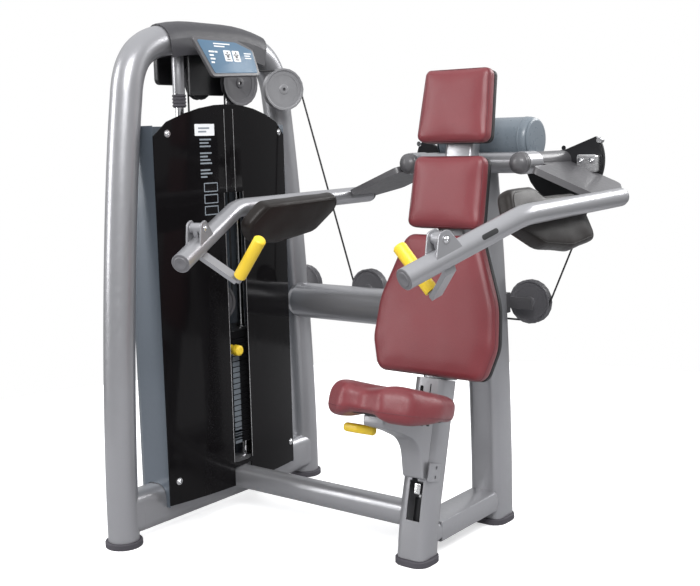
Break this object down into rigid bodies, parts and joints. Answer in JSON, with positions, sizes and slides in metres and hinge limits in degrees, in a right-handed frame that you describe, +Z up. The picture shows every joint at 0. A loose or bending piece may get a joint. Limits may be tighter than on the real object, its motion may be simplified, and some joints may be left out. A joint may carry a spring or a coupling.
{
  "type": "pec deck machine",
  "caption": "Seated selectorised gym machine whose two padded arms swing up at the shoulders and lift a stack of weight plates by cable.",
  "frame": {"origin": "centre of the seat post's rubber sole, on the floor", "axes": "+Z up; the user sits at x = 0 and faces -Y; the weight tower stands on the -X side"},
  "size_m": [1.324, 1.0626, 1.505],
  "materials": {
    "silver_paint": "satin metallic",
    "dark_grey_paint": "satin",
    "black_gloss_panel": "high gloss",
    "black_steel": "satin",
    "slate_plastic": "satin",
    "slate_paint": "satin",
    "cover_plastic": "satin",
    "pulley_plastic": "satin",
    "pale_pulley_plastic": "satin",
    "coated_cable": "satin",
    "rubber": "matte",
    "chrome": "polished",
    "wine_upholstery": "satin",
    "dark_upholstery": "satin",
    "yellow_plastic": "satin",
    "blue_sign": "satin"
  },
  "bodies": {
    "frame": {"arm_axle_left": "dark_grey_paint", "arm_axle_right": "dark_grey_paint", "backrest_spine": "silver_paint", "base_cross_tube": "silver_paint", "base_long_tube": "silver_paint", "cable_left": "coated_cable", "cable_loop": "coated_cable", "cable_right": "coated_cable", "column_pulley_bracket": "dark_grey_paint", "front_shield": "black_gloss_panel", "gas_spring_body": "black_steel", "guide_rod_front": "chrome", "guide_rod_rear": "chrome", "head_bracket": "black_steel", "head_pad": "wine_upholstery", "instruction_board": "blue_sign", "lower_back_pad": "wine_upholstery", "mid_tube": "silver_paint", "pivot_housing": "slate_plastic", "rear_post": "silver_paint", "rear_post_foot": "rubber", "seat_post": "silver_paint", "seat_post_foot": "rubber", "shoulder_tube": "silver_paint", "stack_shroud": "slate_paint", "top_cover": "cover_plastic", "tower_base_beam": "silver_paint", "tower_foot_front": "rubber", "tower_foot_rear": "rubber", "tower_upright_front": "silver_paint", "tower_upright_rear": "silver_paint", "upper_back_pad": "wine_upholstery", "weight_stack": "black_steel"},
    "stack": {"lifted_plates": "black_steel", "floating_pulley": "pulley_plastic"},
    "pin": {"selector_pin": "yellow_plastic"},
    "seat": {"seat_pad": "wine_upholstery", "seat_bracket": "silver_paint", "gas_spring_rod": "chrome"},
    "seat_release": {"seat_lever": "yellow_plastic"},
    "arm_left": {"arm_tube_left": "silver_paint", "arm_link_left": "dark_grey_paint", "cam_left": "black_steel", "elbow_pad_left": "dark_upholstery"},
    "handle_left": {"handle_lever_left": "silver_paint", "grip_left": "yellow_plastic"},
    "arm_right": {"arm_tube_right": "silver_paint", "arm_link_right": "dark_grey_paint", "cam_right": "black_steel", "elbow_pad_right": "dark_upholstery"},
    "handle_right": {"handle_lever_right": "silver_paint", "grip_right": "yellow_plastic"},
    "head_pulley_wheel": {"head_pulley": "pulley_plastic"},
    "crown_pulley_wheel": {"crown_pulley": "pulley_plastic"},
    "rear_head_pulley_wheel": {"rear_head_pulley": "pulley_plastic"},
    "corner_pulley_wheel": {"corner_pulley": "pale_pulley_plastic"},
    "lower_pulley_wheel": {"lower_pulley": "pulley_plastic"},
    "mid_pulley_wheel": {"mid_pulley": "pulley_plastic"},
    "column_pulley_left_wheel": {"column_pulley_left": "pulley_plastic"},
    "column_pulley_right_wheel": {"column_pulley_right": "pulley_plastic"}
  },
  "joints": [
    {"name": "right_arm_lift", "type": "hinge", "parent": "frame", "child": "arm_right", "pos_m": [0.18, 0.304, 1.075], "axis": [0, -1, 0], "range_deg": [0, 80]},
    {"name": "left_arm_lift", "type": "hinge", "parent": "frame", "child": "arm_left", "pos_m": [-0.18, 0.304, 1.075], "axis": [0, 1, 0], "range_deg": [0, 81]},
    {"name": "stack_lift", "type": "slide", "parent": "frame", "child": "stack", "axis": [0, 0, 1], "range_m": [0, 0.177], "deforming": ["cable_loop"]},
    {"name": "pin_pull", "type": "slide", "parent": "stack", "child": "pin", "axis": [1, 0, 0], "range_m": [0, 0.06]},
    {"name": "seat_height", "type": "slide", "parent": "frame", "child": "seat", "axis": [0, 0.2471, 0.969], "range_m": [0, 0.08]},
    {"name": "seat_release_lift", "type": "hinge", "parent": "seat", "child": "seat_release", "pos_m": [-0.0305, -0.14056, 0.39367], "axis": [0, 0.969, -0.2471], "range_deg": [0, 15], "stiffness_Nm_per_rad": 0.4, "springref_deg": -17.19},
    {"name": "left_handle_swing", "type": "hinge", "parent": "arm_left", "child": "handle_left", "pos_m": [-0.36109, -0.42688, 0.93609], "axis": [-0.9496, -0.3135, 0], "range_deg": [-12, 12]},
    {"name": "right_handle_swing", "type": "hinge", "parent": "arm_right", "child": "handle_right", "pos_m": [0.36109, -0.42688, 0.93609], "axis": [-0.9496, 0.3135, 0], "range_deg": [-12, 12]},
    {"name": "head_pulley_turn", "type": "hinge", "parent": "frame", "child": "head_pulley_wheel", "pos_m": [-0.80523, 0.04173, 1.336], "axis": [-0.9945, -0.1046, 0], "range_deg": [0, 201.5]},
    {"name": "crown_pulley_turn", "type": "hinge", "parent": "frame", "child": "crown_pulley_wheel", "pos_m": [-0.73605, 0.14971, 1.328], "axis": [-0.9954, 0.096, 0], "range_deg": [0, 162.8]},
    {"name": "rear_head_pulley_turn", "type": "hinge", "parent": "frame", "child": "rear_head_pulley_wheel", "pos_m": [-0.84977, 0.46527, 1.336], "axis": [-0.9945, -0.1046, 0], "range_deg": [0, 201.5]},
    {"name": "corner_pulley_turn", "type": "hinge", "parent": "frame", "child": "corner_pulley_wheel", "pos_m": [-0.694, 0.306, 1.31], "axis": [-0.895, 0.446, 0], "range_deg": [0, 173.9]},
    {"name": "lower_pulley_turn", "type": "hinge", "parent": "frame", "child": "lower_pulley_wheel", "pos_m": [-0.797, 0.515, 0.657], "axis": [0, -1, 0], "range_deg": [0, 173.9]},
    {"name": "mid_pulley_turn", "type": "hinge", "parent": "frame", "child": "mid_pulley_wheel", "pos_m": [-0.5, 0.486, 0.662], "axis": [0, -1, 0], "range_deg": [0, 173.9]},
    {"name": "column_pulley_left_turn", "type": "hinge", "parent": "frame", "child": "column_pulley_left_wheel", "pos_m": [-0.074, 0.486, 0.657], "axis": [0, -1, 0], "range_deg": [0, 173.9]},
    {"name": "column_pulley_right_turn", "type": "hinge", "parent": "frame", "child": "column_pulley_right_wheel", "pos_m": [0.074, 0.515, 0.657], "axis": [0, -1, 0], "range_deg": [0, 173.9]}
  ],
  "couplings": [
    {"joint": "left_arm_lift", "follows": "right_arm_lift", "ratio": 1},
    {"joint": "stack_lift", "follows": "right_arm_lift", "m_per_rad": 0.125},
    {"joint": "head_pulley_turn", "follows": "right_arm_lift", "ratio": 2.5},
    {"joint": "crown_pulley_turn", "follows": "right_arm_lift", "ratio": 2.0161},
    {"joint": "rear_head_pulley_turn", "follows": "right_arm_lift", "ratio": 2.5},
    {"joint": "corner_pulley_turn", "follows": "right_arm_lift", "ratio": 2.1552},
    {"joint": "lower_pulley_turn", "follows": "right_arm_lift", "ratio": 2.1552},
    {"joint": "mid_pulley_turn", "follows": "right_arm_lift", "ratio": 2.1552},
    {"joint": "column_pulley_left_turn", "follows": "right_arm_lift", "ratio": 2.1552},
    {"joint": "column_pulley_right_turn", "follows": "right_arm_lift", "ratio": 2.1552}
  ]
}
